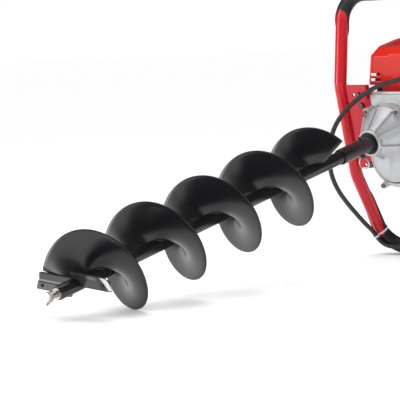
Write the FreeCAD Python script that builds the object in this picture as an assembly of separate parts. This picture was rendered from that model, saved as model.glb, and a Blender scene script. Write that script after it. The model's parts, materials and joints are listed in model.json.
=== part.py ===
"""Motorised ice auger lying on a floor, every piece a solid of its own.

All pieces are modelled in the machine frame, in millimetres: X towards the upper handle, Y towards the
air filter side, Z along the drill axis from the pilot point to the engine, with the axis at X = Y = 0.
place() then lays the machine down: the tip is low, the flight's first turn and the lower handle touch
the floor, +Z is up and +X runs along the drill towards the engine.
"""
import FreeCAD, Part

import math
import os

V = FreeCAD.Vector

# Lying position
TILT = 13.03            # degrees between the drill axis and the floor
AXIS_HEIGHT = 76.834    # height of the machine frame's origin above the floor
ORIGIN_X = 566.312      # row-frame X of the middle of the object's length

# Drill bit, 8 inch
BIT_R = 101.6
PITCH = 179.5
TURNS = 4.361
FLIGHT_Z = -26.8        # height of the flight's leading edge
LEAD_ANGLE = -77.66     # direction of the leading edge, degrees from X towards Y
WING_LAG = 7.5           # the blade bar stands this many degrees before the flight's edge
FLIGHT_T = 5.0
TUBE_R = 15.0
TUBE_WALL = 3.0
TUBE_Z0 = -85.0
TUBE_Z1 = 846.0
SLEEVE_R = 18.4
SLEEVE_Z0 = 833.0
SLEEVE_Z1 = 943.0
SHAFT_R = 12.5
PIN_Z = 912.0

# Gear case: two circles joined, one on the drill axis and one on the lay shaft
CASE_R = 69.0
CASE_WALL = 6.0
LAY_X, LAY_Y = -60.65, 10.2
CENTRE_DISTANCE = math.hypot(LAY_X, LAY_Y)
BOSS_R = 30.0
BOSS_Z = 940.0
CONE_Z = 957.0
SPLIT_Z = 1016.0
MID_Z = 1024.0
REAR_Z = 1053.0
FLANGE_Z = 1061.0
RIB_OFFSETS = (0, 60, 101, 142, 180, 218, 259, 300)     # rib angles from the lay shaft's direction
SEAL_R = 26.4
GEAR_MODULE = 1.5
SLIP = 0.02             # radial clearance of a shaft in its bearing

# Engine
CRANK_Z = 1145.0        # height of the cylinder's axis
CASE_FRONT_Z = 1090.0
CASE_BACK_Z = 1194.0
CRANKCASE_R = 45.0
INTAKE_X = 80.0         # middle of the intake port
STARTER_R = 66.0
END_Z = 1270.0

# Carrying frame
FRAME_R = 15.0
FRAME_Y = 146.0
FRAME_Z = 1050.0
BEND_X = 112.6
RAKE = 18.19
HANDLE_X = 319.0
HANDLE_Z = FRAME_Z + (HANDLE_X - BEND_X) * math.tan(math.radians(RAKE))
BEND_RADIUS = 76.0
CORNER_RADIUS = 64.0
GRIP_R = 17.5
PLATE_T = 5.0
HOLE_X, HOLE_Y, HOLE_R = 88.0, 110.0, 4.5     # spare holes in the mounting plates

# Throttle loom: outer diameter and its route, point by point
LOOM_D = 11.6
LOOM_ROUTE = [
    (131, 72, 1094), (131, 72, 1075), (130, 64, 1056), (127, 46, 1042), (122, 18, 1036),
    (113, -22, 1035), (95, -63, 1026), (68, -100, 1006), (30, -133, 986), (-22, -152, 974),
    (-80, -156, 967), (-127, -154, 978), (-171, -152, 1003), (-219, -149, 1036), (-246, -148.5, 1057),
    (-267, -147.5, 1075), (-290, -141.5, 1083), (-303.5, -131, 1087), (-310.5, -115.5, 1090.3),
    (-311.5, -97, 1094.5), (-311.5, -80, 1094.5),
]

PARTS = {}


def place(shape):
    """Turn a shape from the machine frame into the lying frame."""
    c, s = math.cos(math.radians(TILT)), math.sin(math.radians(TILT))
    m = FreeCAD.Matrix(-s, 0, c, -ORIGIN_X,
                       0, -1, 0, 0,
                       c, 0, s, AXIS_HEIGHT,
                       0, 0, 0, 1)
    moved = shape.copy()
    moved.Placement = FreeCAD.Placement(m).multiply(shape.Placement)
    return moved


def add(name, *solids):
    """Keep one named node, made of one solid or of a group of separate solids."""
    PARTS[name] = place(solids[0] if len(solids) == 1 else Part.makeCompound(list(solids)))


def cyl(r, z0, z1, x=0.0, y=0.0):
    return Part.makeCylinder(r, z1 - z0, V(x, y, z0))


def ring(outer, inner, z0, z1, x=0.0, y=0.0):
    return cyl(outer, z0, z1, x, y).cut(cyl(inner, z0 - 1, z1 + 1, x, y))


def rod(p0, p1, r):
    """Round bar between two points."""
    a, b = V(*p0), V(*p1)
    return Part.makeCylinder(r, (b - a).Length, a, b - a)


def box(x0, x1, y0, y1, z0, z1):
    return Part.makeBox(x1 - x0, y1 - y0, z1 - z0, V(x0, y0, z0))


def soft_box(x0, x1, y0, y1, z0, z1, r):
    """Box with every edge rounded."""
    b = box(x0, x1, y0, y1, z0, z1)
    return b.makeFillet(r, b.Edges)


def shell_box(x0, x1, y0, y1, z0, z1, r, wall, open_side):
    """Rounded hollow box, open and square-cut on one side, '-x' or '-y'."""
    stretch = 2 * r
    if open_side == "-x":
        outer = soft_box(x0 - stretch, x1, y0, y1, z0, z1, r)
        inner = soft_box(x0 - stretch, x1 - wall, y0 + wall, y1 - wall, z0 + wall, z1 - wall, r - wall)
        mouth = box(x0 - 2 * stretch, x0, y0 - 1, y1 + 1, z0 - 1, z1 + 1)
    else:
        outer = soft_box(x0, x1, y0 - stretch, y1, z0, z1, r)
        inner = soft_box(x0 + wall, x1 - wall, y0 - stretch, y1 - wall, z0 + wall, z1 - wall, r - wall)
        mouth = box(x0 - 1, x1 + 1, y0 - 2 * stretch, y0, z0 - 1, z1 + 1)
    return outer.cut([inner, mouth])


def prism(points, z0, z1):
    """Straight-sided block with a polygon outline."""
    pts = [V(x, y, z0) for x, y in points]
    return Part.Face(Part.makePolygon(pts + [pts[0]])).extrude(V(0, 0, z1 - z0))


def turned(profile, x=0.0, y=0.0):
    """Solid of revolution about a line along Z, from (radius, height) corners."""
    pts = [V(x + r, y, z) for r, z in profile]
    face = Part.Face(Part.makePolygon(pts + [pts[0]]))
    return face.revolve(V(x, y, 0), V(0, 0, 1), 360)


def joined(*shapes):
    body = shapes[0].fuse(list(shapes[1:]))
    return body.removeSplitter()


def bent_path(points, radii):
    """Wire of straight runs and tangent arcs through the corners; also the corner radii used."""
    pts = [V(*p) for p in points]
    edges = []
    here = pts[0]
    for i in range(1, len(pts) - 1):
        back = (pts[i - 1] - pts[i]).normalize()
        ahead = (pts[i + 1] - pts[i]).normalize()
        half = back.getAngle(ahead) / 2
        cut = radii[i - 1] / math.tan(half)
        p1, p2 = pts[i] + back * cut, pts[i] + ahead * cut
        centre = pts[i] + (back + ahead).normalize() * (radii[i - 1] / math.sin(half))
        mid = centre + (pts[i] - centre).normalize() * radii[i - 1]
        edges.append(Part.LineSegment(here, p1).toShape())
        edges.append(Part.Arc(p1, mid, p2).toShape())
        here = p2
    edges.append(Part.LineSegment(here, pts[-1]).toShape())
    return Part.Wire(edges)


def swept(wire, r):
    """Round bar along a wire."""
    first = wire.Edges[0]
    start = first.valueAt(first.FirstParameter)
    along = first.tangentAt(first.FirstParameter)
    circle = Part.Wire(Part.Circle(start, along, r).toShape())
    return wire.makePipeShell([circle], True, False)


def swept_tube(wire, outer, inner):
    return swept(wire, outer).cut(swept(wire, inner))


def cord_radii(points):
    """Largest arcs that the runs of a loosely hanging cord allow."""
    pts = [V(*p) for p in points]
    radii = []
    for i in range(1, len(pts) - 1):
        a, b = pts[i] - pts[i - 1], pts[i + 1] - pts[i]
        radii.append(0.45 * min(a.Length, b.Length) / math.tan(a.getAngle(b) / 2))
    return radii


def held_line(points, r):
    """Short hose or lead that clips hold, with arcs as large as its runs allow."""
    return swept(bent_path(points, cord_radii(points)), r)


def hex_bolt(x, y, z, head_side, shank_r, length, across):
    """Hexagon bolt along Z; head_side is -1 when the head faces the drill."""
    r = across / math.sqrt(3)
    corners = [(x + r * math.cos(math.radians(60 * k)), y + r * math.sin(math.radians(60 * k)))
               for k in range(6)]
    height = 0.65 * shank_r * 2
    z0, z1 = (z - height, z) if head_side < 0 else (z, z + height)
    s0, s1 = (z, z + length) if head_side < 0 else (z - length, z)
    return joined(prism(corners, z0, z1), cyl(shank_r, s0, s1, x, y))


def gear(teeth, z0, z1, x, y, bore, phase=0.0, hub=None):
    """Spur gear with straight-flanked teeth and working backlash."""
    pitch_r = GEAR_MODULE * teeth / 2
    root, tip = pitch_r - 1.30 * GEAR_MODULE, pitch_r + 0.90 * GEAR_MODULE
    step = 360.0 / teeth
    points = []
    for k in range(teeth):
        for offset, r in ((-0.33, root), (-0.11, tip), (0.11, tip), (0.33, root)):
            a = math.radians(phase + step * (k + offset))
            points.append((x + r * math.cos(a), y + r * math.sin(a)))
    body = prism(points, z0, z1)
    if hub:
        body = joined(body, cyl(hub[0], hub[1], hub[2], x, y))
    return body.cut(cyl(bore, z0 - 60, z1 + 60, x, y)) if bore else body


def bearing(z0, z1, inner, outer, x=0.0, y=0.0):
    """Deep-groove ball bearing: its two rings and their balls."""
    middle, gap = (inner + outer) / 2, (outer - inner) / 2
    ball_r = gap * 0.5
    rings = [ring(outer, middle + gap * 0.42, z0, z1, x, y), ring(middle - gap * 0.42, inner, z0, z1, x, y)]
    groove = Part.makeTorus(middle, ball_r + 0.05, V(x, y, (z0 + z1) / 2), V(0, 0, 1))
    rings = [r.cut(groove) for r in rings]
    count = int(2 * math.pi * middle / (ball_r * 2.6))
    balls = [Part.makeSphere(ball_r - 0.05, V(x + middle * math.cos(2 * math.pi * k / count),
                                              y + middle * math.sin(2 * math.pi * k / count),
                                              (z0 + z1) / 2)) for k in range(count)]
    return rings + balls


def case_outline(r, z0, z1):
    """Block whose outline is two circles of one radius joined by their common tangents."""
    ux, uy = LAY_X / CENTRE_DISTANCE, LAY_Y / CENTRE_DISTANCE
    web = prism([(-uy * r, ux * r), (uy * r, -ux * r),
                 (LAY_X + uy * r, LAY_Y - ux * r), (LAY_X - uy * r, LAY_Y + ux * r)], z0, z1)
    return joined(cyl(r, z0, z1), cyl(r, z0, z1, LAY_X, LAY_Y), web)


def case_cone(r0, r1, z0, z1):
    """Tapered block from a circle on the drill axis to the two-circle outline."""
    axis = turned([(0, z0), (r0, z0), (r1, z1), (0, z1)])
    lay = turned([(0, z0 + 14), (r0 * 0.6, z0 + 14), (r1, z1), (0, z1)], LAY_X, LAY_Y)
    low = Part.makePolygon([V(x, y, z0 + 14) for x, y in waist(r0 * 0.6)])
    high = Part.makePolygon([V(x, y, z1) for x, y in waist(r1)])
    return joined(axis, lay, Part.makeLoft([low, high], True, True))


def waist(r):
    """Closed rectangle between the drill axis and the lay shaft, 2 r wide."""
    ux, uy = LAY_X / CENTRE_DISTANCE, LAY_Y / CENTRE_DISTANCE
    pts = [(-uy * r, ux * r), (uy * r, -ux * r), (LAY_X + uy * r, LAY_Y - ux * r),
           (LAY_X - uy * r, LAY_Y + ux * r)]
    return pts + [pts[0]]


def lug_places():
    """Six bolt places round the gear case."""
    r = CASE_R + 5
    places = [(r * math.cos(math.radians(a)), r * math.sin(math.radians(a))) for a in (-38, 38)]
    places += [(LAY_X + r * math.cos(math.radians(a)), LAY_Y + r * math.sin(math.radians(a)))
               for a in (148, 212)]
    return places + [(LAY_X / 2 + 2, LAY_Y / 2 + r), (LAY_X / 2 + 2, LAY_Y / 2 - r)]


# ---------------------------------------------------------------- drill bit

def radial(angle):
    return V(math.cos(math.radians(angle)), math.sin(math.radians(angle)), 0)


def wing_block(angle, outline, r0, r1):
    """Bar along a radius; outline is its section as (distance ahead of the radius, height)."""
    out, ahead = radial(angle), radial(angle - 90)
    pts = [out * r0 + ahead * w + V(0, 0, z) for w, z in outline]
    return Part.Face(Part.makePolygon(pts + [pts[0]])).extrude(out * (r1 - r0))


def make_bit():
    helix = Part.makeHelix(PITCH, PITCH * TURNS, TUBE_R)
    section = Part.makePolygon([V(TUBE_R, 0, -FLIGHT_T / 2), V(BIT_R, 0, -FLIGHT_T / 2),
                                V(BIT_R, 0, FLIGHT_T / 2), V(TUBE_R, 0, FLIGHT_T / 2),
                                V(TUBE_R, 0, -FLIGHT_T / 2)])
    flight = Part.Wire(helix.Edges).makePipeShell([section], True, True)
    if flight.Volume < 0:
        flight.reverse()
    flight.rotate(V(0, 0, 0), V(0, 0, 1), LEAD_ANGLE)
    flight.translate(V(0, 0, FLIGHT_Z))
    add("flighting", flight.cut(cyl(TUBE_R, TUBE_Z0, SLEEVE_Z0)))

    core = cyl(TUBE_R, TUBE_Z0, 0)
    wing_angle = LEAD_ANGLE - WING_LAG
    back_angle = wing_angle + 180
    lead_section = [(-14, -33), (0, -35), (20, -48), (20, -55), (-2, -42), (-14, -40)]
    lead_edge = [(2, -43.5), (20, -54), (24, -60), (2, -48.5)]
    back_section = [(-4, -25), (22, -33), (30, -40), (30, -47), (20, -40), (-4, -32)]
    back_edge = [(2, -34), (20, -40), (30, -47), (34, -53), (18, -46), (2, -39)]
    lead_wing = wing_block(wing_angle, lead_section, 0, 98)
    back_wing = wing_block(back_angle, back_section, 0, 93)
    lead_blade = wing_block(wing_angle, lead_edge, 20, 100).cut(core)
    back_blade = wing_block(back_angle, back_edge, 78, 101)

    def blade_bolt(angle, r, w, z_head, z_tail):
        p = radial(angle) * r + radial(angle - 90) * w
        return joined(rod((p.x, p.y, z_head), (p.x, p.y, z_tail), 3.0),
                      rod((p.x, p.y, z_head), (p.x, p.y, z_head + 4.5), 6.0))
    bolts = [blade_bolt(wing_angle, 42, 7, -37.5, -54), blade_bolt(wing_angle, 82, 7, -37.5, -54),
             blade_bolt(back_angle, 86, 13, -28.5, -46)]
    cutouts = [core] + bolts
    add("blade_holders", lead_wing.cut(cutouts), back_wing.cut(cutouts))
    add("cutting_blades", lead_blade.cut([lead_wing] + bolts), back_blade.cut([back_wing] + bolts))
    add("blade_bolts", *bolts)

    shank = cyl(TUBE_R - TUBE_WALL, TUBE_Z0 - 4, TUBE_Z0 + 26)
    neck = cyl(6.5, TUBE_Z0 - 16, TUBE_Z0 - 4)
    prongs = []
    for turn in (0, 180):
        prong = Part.Face(Part.makePolygon([V(0, -2.5, -101), V(9, -2.5, -99), V(14.5, -2.5, -117),
                                            V(10, -2.5, -113), V(0, -2.5, -106), V(0, -2.5, -101)]))
        solid = prong.extrude(V(0, 5, 0))
        solid.rotate(V(0, 0, 0), V(0, 0, 1), turn + 12)
        prongs.append(solid)
    add("pilot_point", joined(shank, neck, *prongs))

    tube = ring(TUBE_R, TUBE_R - TUBE_WALL, TUBE_Z0, TUBE_Z1)
    sleeve = ring(SLEEVE_R, SHAFT_R + 0.1, SLEEVE_Z0, SLEEVE_Z1)
    sleeve = sleeve.cut([cyl(TUBE_R, SLEEVE_Z0 - 1, TUBE_Z1), rod((40, 0, PIN_Z), (-40, 0, PIN_Z), 4.06)])
    add("bit_tube", joined(tube, sleeve))
    pin = joined(rod((24, 0, PIN_Z), (-22, 0, PIN_Z), 4.0), rod((-22, 0, PIN_Z), (-28, 0, PIN_Z), 7.0))
    ring_r = 14.0
    pull_ring = Part.makeTorus(ring_r, 1.4, V(-25 - ring_r, 0, PIN_Z), V(0, 0, 1))
    add("hitch_pin", pin.cut(Part.makeTorus(ring_r, 1.5, V(-25 - ring_r, 0, PIN_Z), V(0, 0, 1))))
    add("hitch_ring", pull_ring)


# ---------------------------------------------------------------- gear case

def make_gear_case():
    lugs = [cyl(8.0, SPLIT_Z - 14, SPLIT_Z, x, y) for x, y in lug_places()]
    skin = joined(cyl(BOSS_R, BOSS_Z, CONE_Z + 2), case_cone(BOSS_R, CASE_R, CONE_Z, SPLIT_Z - 5),
                  case_outline(CASE_R, SPLIT_Z - 5, SPLIT_Z), *lugs)
    ribs = []
    lay_angle = math.degrees(math.atan2(LAY_Y, LAY_X))
    for offset in RIB_OFFSETS:
        out, side = radial(lay_angle + offset), radial(lay_angle + offset + 90)
        pts = [out * (BOSS_R - 4) + V(0, 0, BOSS_Z + 8), out * (CASE_R - 1) + V(0, 0, SPLIT_Z - 8),
               out * (CASE_R - 8) + V(0, 0, SPLIT_Z - 3), out * (BOSS_R - 8) + V(0, 0, CONE_Z + 6)]
        face = Part.Face(Part.makePolygon([p - side * 2.5 for p in pts] + [pts[0] - side * 2.5]))
        ribs.append(face.extrude(side * 5))
    skin = joined(skin, *ribs)
    wall = CASE_WALL
    hollow = [cyl(23.5, 950, 966.3), cyl(SEAL_R, BOSS_Z - 1, 951),
              case_outline(CASE_R - 2 * wall, SPLIT_Z - 17.5, SPLIT_Z + 1),
              turned([(0, 966), (20, 966), (24, 970), (CASE_R - 2 * wall, SPLIT_Z - 16), (0, SPLIT_Z - 16)]),
              cyl(11.05, 986, SPLIT_Z, LAY_X, LAY_Y)]
    holes = [cyl(3.3, SPLIT_Z - 20, SPLIT_Z + 1, x, y) for x, y in lug_places()]
    add("gear_case_front", skin.cut(hollow + holes))

    plate = joined(case_outline(CASE_R, SPLIT_Z, MID_Z),
                   *[cyl(8.0, SPLIT_Z, MID_Z, x, y) for x, y in lug_places()])
    openings = [cyl(16.0, SPLIT_Z - 1, MID_Z + 1), cyl(12.5, SPLIT_Z - 1, MID_Z + 1, LAY_X, LAY_Y)]
    openings += [cyl(3.3, SPLIT_Z - 1, MID_Z + 1, x, y) for x, y in lug_places()]
    add("bearing_plate", plate.cut(openings))

    body = joined(case_outline(CASE_R, MID_Z, REAR_Z - 8), box(-93, 93, -105, 105, REAR_Z, FLANGE_Z),
                  box(-88, 88, -58, 58, REAR_Z - 8, REAR_Z),
                  *[cyl(8.0, MID_Z, MID_Z + 12, x, y) for x, y in lug_places()])
    body = body.cut([case_outline(CASE_R - wall - 2, MID_Z - 1, MID_Z + 16), cyl(16.0, MID_Z, MID_Z + 29),
                     cyl(44.0, MID_Z + 28, FLANGE_Z + 1), cyl(11.05, MID_Z, MID_Z + 22, LAY_X, LAY_Y)])
    body = body.cut([cyl(3.3, MID_Z - 1, MID_Z + 13, x, y) for x, y in lug_places()])
    body = body.cut([cyl(4.25, REAR_Z - 1, FLANGE_Z + 1, x, y) for x, y in plate_bolt_places()])
    add("gear_case_rear", body)

    add("case_bolts", *[hex_bolt(x, y, SPLIT_Z - 14, -1, 3.0, 36, 10) for x, y in lug_places()])
    add("oil_seal", joined(ring(SEAL_R - 0.1, SHAFT_R + 2 * SLIP, 944.5, 950),
                           ring(SEAL_R - 0.1, SLEEVE_R + 0.6, BOSS_Z + 0.6, 945)))


def make_gear_train():
    toward = math.degrees(math.atan2(LAY_Y, LAY_X))
    z = 1000.0
    shaft = joined(cyl(SHAFT_R, 850, 968), cyl(14.0, 968, 1015), cyl(8.0, 1015, 1023.5))
    shaft = shaft.cut(rod((40, 0, PIN_Z), (-40, 0, PIN_Z), 4.06))
    add("output_shaft", shaft)
    add("output_gear", gear(68, z, z + 12, 0, 0, 14.0, toward))
    lay_half = 180.0 / 14
    small = gear(14, z - 1, z + 13, LAY_X, LAY_Y, 0, toward + 180 + lay_half)
    large = gear(70, 1027, 1037, LAY_X, LAY_Y, 7.0, toward + 180, (12.0, 1026, 1038))
    add("lay_shaft", joined(cyl(7.0, 988, 1045, LAY_X, LAY_Y), small), large)
    drum = joined(cyl(39.5, 1056, 1082).cut(cyl(36.6, 1060, 1083)), cyl(8.0, 1039, 1058),
                  gear(12, 1026, 1039.5, 0, 0, 0, toward + 180.0 / 12))
    add("clutch_drum", drum)
    balls = [*bearing(952, 966, SHAFT_R + SLIP, 23.5), *bearing(1042, 1052, 8.0 + SLIP, 16.0),
             *bearing(SPLIT_Z + 0.5, MID_Z - 0.5, 8.0 + SLIP, 16.0)]
    bushes = [ring(11.0, 7.0 + SLIP, z0, z1, LAY_X, LAY_Y) for z0, z1 in ((988, 996), (1039, 1045))]
    add("gear_bearings", *balls, *bushes)


# ---------------------------------------------------------------- engine

def make_clutch():
    housing = joined(ring(56, 45, FLANGE_Z, 1090), ring(66, 45, FLANGE_Z, FLANGE_Z + 6))
    add("clutch_housing", housing)
    for name, sign in (("clutch_shoe_a", 1), ("clutch_shoe_b", -1)):
        shoe = ring(35.4, 14.5, 1063, 1079).cut(box(-40, 6, -40, 40, 1060, 1082))
        shoe = shoe.cut(ring(25.8, 20.4, 1068.6, 1073.4))
        if sign < 0:
            shoe.rotate(V(0, 0, 0), V(0, 0, 1), 180)
        add(name, shoe)
    spring = Part.makeTorus(23.25, 1.6, V(0, 0, 1071), V(0, 0, 1))
    add("clutch_spring", spring)


def make_crank():
    room = [cyl(36, CRANK_Z - 27, CRANK_Z + 27), cyl(23.5, 1096, 1188), cyl(10.8, 1080, 1200),
            rod((30, 0, CRANK_Z), (60, 0, CRANK_Z), 23)]
    deck = box(20, 46, -30, 30, CRANK_Z - 36, CRANK_Z + 36)
    block = joined(cyl(CRANKCASE_R, 1096, CASE_BACK_Z), cyl(66, 1090, 1096), deck).cut(room)
    halves = [block.common(box(-90, 90, -90, 90, z0, z1)) for z0, z1 in ((1080, CRANK_Z), (CRANK_Z, 1200))]
    add("crankcase", *halves)
    web = cyl(34, CRANK_Z - 25, CRANK_Z - 11.3)
    far = cyl(34, CRANK_Z + 11.3, CRANK_Z + 25)
    front = joined(cyl(13.8, 1063, 1079), cyl(8.0, 1079, 1092), cyl(10.0, 1092, CRANK_Z - 25), web)
    back = joined(far, cyl(10.0, CRANK_Z + 25, 1192), cyl(7.0, 1192, 1236))
    add("crankshaft", front, back)
    add("crank_bearings", *bearing(1098, 1110, 10.0 + SLIP, 23.5), *bearing(1174, 1186, 10.0 + SLIP, 23.5))
    rod_body = joined(rod_ring(17, 11.5, 7.05, 7), rod_ring(79, 9, 5.05, 6),
                      box(26, 72, -5, 5, CRANK_Z - 3, CRANK_Z + 3).cut(cyl_z(79, 5.05)).cut(cyl_z(17, 7.05)))
    add("connecting_rod", rod_body, cyl(7.0, CRANK_Z - 10.8, CRANK_Z + 10.8, 17))
    crown, hollow = along_x(66, 100, 21.85), along_x(60, 94, 18.5)
    piston = crown.cut(hollow)
    piston = joined(piston, rod_ring(79, 8.0, 5.0, 19.2).cut(box(66, 92, -12, 12, CRANK_Z - 7, CRANK_Z + 7)))
    add("piston", piston.cut(cyl_z(79, 5.0)), cyl(5.0, CRANK_Z - 18, CRANK_Z + 18, 79))


def along_x(x0, x1, r):
    """Round bar on the cylinder's axis."""
    return rod((x0, 0, CRANK_Z), (x1, 0, CRANK_Z), r)


def rod_ring(x, outer, inner, half):
    return ring(outer, inner, CRANK_Z - half, CRANK_Z + half, x)


def cyl_z(x, r):
    return cyl(r, CRANK_Z - 30, CRANK_Z + 30, x)


def make_cylinder():
    body = along_x(46, 132, 27)
    flange = box(46, 52, -30, 30, CRANK_Z - 30, CRANK_Z + 30)
    fins = [along_x(x, x + 2.5, 42) for x in range(62, 134, 8)]
    fins = [f.common(box(0, 200, -38, 38, CRANK_Z - 39, CRANK_Z + 42)) for f in fins]
    body = joined(body, flange, *fins)
    add("cylinder", body.cut([along_x(40, 104, 22), along_x(100, 140, 7.0)]))
    thread = along_x(112, 133, 7.0).cut(along_x(111, 116, 5))
    add("spark_plug", joined(thread, along_x(133, 143, 10.0), along_x(143, 158, 5.5)))
    boot = joined(along_x(146, 170, 9.5), rod((162, 0, CRANK_Z), (162, 0, CRANK_Z + 24), 6.0))
    lead = held_line([(162, 0, CRANK_Z + 20), (162, 0, CRANK_Z + 44), (140, -12, 1207),
                      (104, -20, 1212), (78, -20, 1212)], 3.0)
    add("plug_lead", joined(boot.cut(along_x(140, 158, 5.5)), lead))
    add("ignition_coil", soft_box(60, 78, -34, 6, 1204, 1222, 3))


def make_starter():
    hub = ring(14, 7.0, 1198.5, 1224)
    disk = ring(53, 7.0, 1198.5, 1203)
    blades = []
    for k in range(12):
        blade = box(20, 52, -1.5, 1.5, 1202, 1221)
        blade.rotate(V(0, 0, 0), V(0, 0, 1), 30 * k)
        blades.append(blade)
    add("flywheel_fan", joined(disk, hub, ring(19, 7.0, 1223, 1235), *blades))
    house = turned([(30, 1194), (STARTER_R, 1194), (STARTER_R, 1250), (STARTER_R - 10, END_Z), (0, END_Z),
                    (0, END_Z - 4), (STARTER_R - 13, END_Z - 4), (STARTER_R - 3, 1249), (STARTER_R - 3, 1197),
                    (30, 1197)])
    vents = [box(24, 58, -2.5, 2.5, END_Z - 8, END_Z + 2) for _ in range(12)]
    for k, vent in enumerate(vents):
        vent.rotate(V(0, 0, 0), V(0, 0, 1), 30 * k + 15)
    coil_room = box(50, 84, -38, 10, 1197.1, 1226)
    rope_exit = rod((25, 40, 1244), (25, 90, 1244), 2.3)
    add("starter_housing", joined(house, cyl(8, 1238, END_Z - 2)).cut(vents + [coil_room, rope_exit]))
    pulley = ring(28, 8.3, 1238.6, 1250).cut(ring(30, 22.5, 1241.5, 1246.5))
    add("starter_pulley", pulley)
    turns = []
    for k in range(5):
        turns.append(ring(12.5 + 3 * k, 11.4 + 3 * k, 1252, 1260))
    bridge = [box(11.6 + 3 * k, 15.0 + 3 * k, -0.6, 0.6, 1252, 1260) for k in range(4)]
    add("recoil_spring", joined(*turns, *bridge))
    grip = soft_box(5, 45, 72, 88, 1237, 1251, 4)
    rope = rod((25, 2, 1244), (25, 80, 1244), 1.8)
    add("starter_handle", joined(grip, rope))


def make_intake():
    x, z = INTAKE_X, CRANK_Z
    block = box(x - 16, x + 16, 38, 56, z - 16, z + 16).cut(rod((x, 30, z), (x, 60, z), 9))
    carb = joined(box(x - 18, x + 18, 56, 92, z - 18, z + 18), box(x - 30, x - 18, 66, 82, z - 12, z + 4),
                  box(x - 30, x - 18, 80, 88, z + 4, z + 16))
    throttle_at, choke_at = (x, 66), z + 10
    air_way = rod((x, 50, z), (x, 100, z), 9)
    primer_pocket = rod((x - 31, 74, z - 4), (x - 25.5, 74, z - 4), 8.4)
    bores = [air_way, cyl(4.03, z - 40, z + 4, *throttle_at), primer_pocket,
             rod((x - 24, 70, choke_at), (x - 24, 95, choke_at), 2.55)]
    add("carburetor", block, carb.cut(bores))
    spindle, hub = cyl(4.0, z - 32, z + 2, *throttle_at), cyl(7.5, z - 32, z - 28.5, *throttle_at)
    add("throttle_arm", joined(spindle, hub, box(x, x + 25, 62, 70, z - 32, z - 28.5)))
    foot = box(x + 18, x + 21, 60, 84, z - 18, z + 2)
    shelf = box(x + 18, x + 58, 60, 84, z - 18, z - 15)
    drop = box(x + 55, x + 58, 60, 84, z - 50, z - 15)
    cable_stop = box(x + 41, x + 62, 60, 84, z - 51, z - 48)
    add("cable_bracket", joined(foot, shelf, drop, cable_stop))
    base = box(x - 30, x + 34, 92, 98, z - 34, z + 34).cut(rod((x, 90, z), (x, 99, z), 9))
    foam = soft_box(x - 26, x + 16, 98.2, 118, z - 28, z + 28, 3)
    add("air_filter", base, foam)
    knob_at = (x + 24, z - 24)
    cover = shell_box(x - 32, x + 36, 98.4, 136, z - 36, z + 36, 9, 2.5, "-y")
    add("filter_cover", cover.cut(rod((knob_at[0], 90, knob_at[1]), (knob_at[0], 150, knob_at[1]), 4)))
    add("filter_knob", joined(rod((knob_at[0], 98.6, knob_at[1]), (knob_at[0], 137, knob_at[1]), 3.0),
                              rod((knob_at[0], 136.4, knob_at[1]), (knob_at[0], 146, knob_at[1]), 9.0)))
    lever = joined(rod((x - 24, 88.3, choke_at), (x - 24, 91.5, choke_at), 5.5),
                   box(x - 54, x - 24, 88.3, 91.5, choke_at - 4, choke_at + 4),
                   rod((x - 24, 81, choke_at), (x - 24, 90, choke_at), 2.5))
    add("choke_lever", lever)
    dome = [along_primer(0, 3, 7.8, 7.8), along_primer(3, 5.5, 7.8, 6.4), along_primer(5.5, 7.5, 6.4, 3.6)]
    add("primer_bulb", joined(*dome))


def along_primer(d0, d1, r0, r1):
    """Slice of the primer bulb from d0 to d1 in front of its seat."""
    seat, out = V(INTAKE_X - 30.1, 74, CRANK_Z - 4), V(-1, 0, 0)
    if r0 == r1:
        return Part.makeCylinder(r0, d1 - d0, seat + out * d0, out)
    return Part.makeCone(r0, r1, d1 - d0, seat + out * d0, out)


def rounded_outline(x, y0, y1, z0, z1, r):
    """Closed wire of a rectangle with round corners in a plane across X."""
    corners = [((y1 - r, z1 - r), 0), ((y0 + r, z1 - r), 90),
               ((y0 + r, z0 + r), 180), ((y1 - r, z0 + r), 270)]
    edges, ends = [], []
    for (cy, cz), start in corners:
        spots = [V(x, cy + r * math.cos(math.radians(a)), cz + r * math.sin(math.radians(a)))
                 for a in (start, start + 45, start + 90)]
        edges.append(Part.Arc(*spots).toShape())
        ends.append((spots[0], spots[2]))
    for k in range(4):
        edges.append(Part.LineSegment(ends[k][1], ends[(k + 1) % 4][0]).toShape())
    return Part.Wire(Part.__sortEdges__(edges))


def make_covers():
    wall = 2.6
    sections = [(98, -108, 48, 1100, 1238, 16),
                (168, -90, 42, 1101, 1232, 20),
                (186, -74, 28, 1112, 1218, 26)]
    outer = Part.makeLoft([rounded_outline(*s) for s in sections], True, True)
    inside = [(x, y0 + wall, y1 - wall, z0 + wall, z1 - wall, r - wall) for x, y0, y1, z0, z1, r in sections]
    inside[0] = (97, *inside[0][1:])
    inside[2] = (186 - wall, *inside[2][1:])
    inner = Part.makeLoft([rounded_outline(*s) for s in inside], True, True)
    brow = prism([(77, -58), (100, -54), (176, -20), (176, 36), (77, 44)], 1093, 1101.5)
    cover = joined(outer, brow).cut(inner)
    front_slots = [box(x, x + 6, -93, -61, 1090, 1106) for x in (108, 121)]
    side_window = box(100, 127, -125, -84, 1106, 1138)
    top_slots = [box(176, 192, -50 + 14 * k, -43 + 14 * k, 1132, 1198) for k in range(4)]
    add("engine_cover", cover.cut([box(90, 112, -40, 40, 1225, 1240), side_window] + front_slots + top_slots))
    body = soft_box(66, 116, -90, -44, CRANK_Z - 34, CRANK_Z + 34, 5)
    outlet = rod((80, -80, CRANK_Z + 30), (80, -80, CRANK_Z + 46), 6)
    neck = box(76, 104, -44.5, -38, CRANK_Z - 16, CRANK_Z + 16)
    add("muffler", joined(body, outlet, neck))


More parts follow.
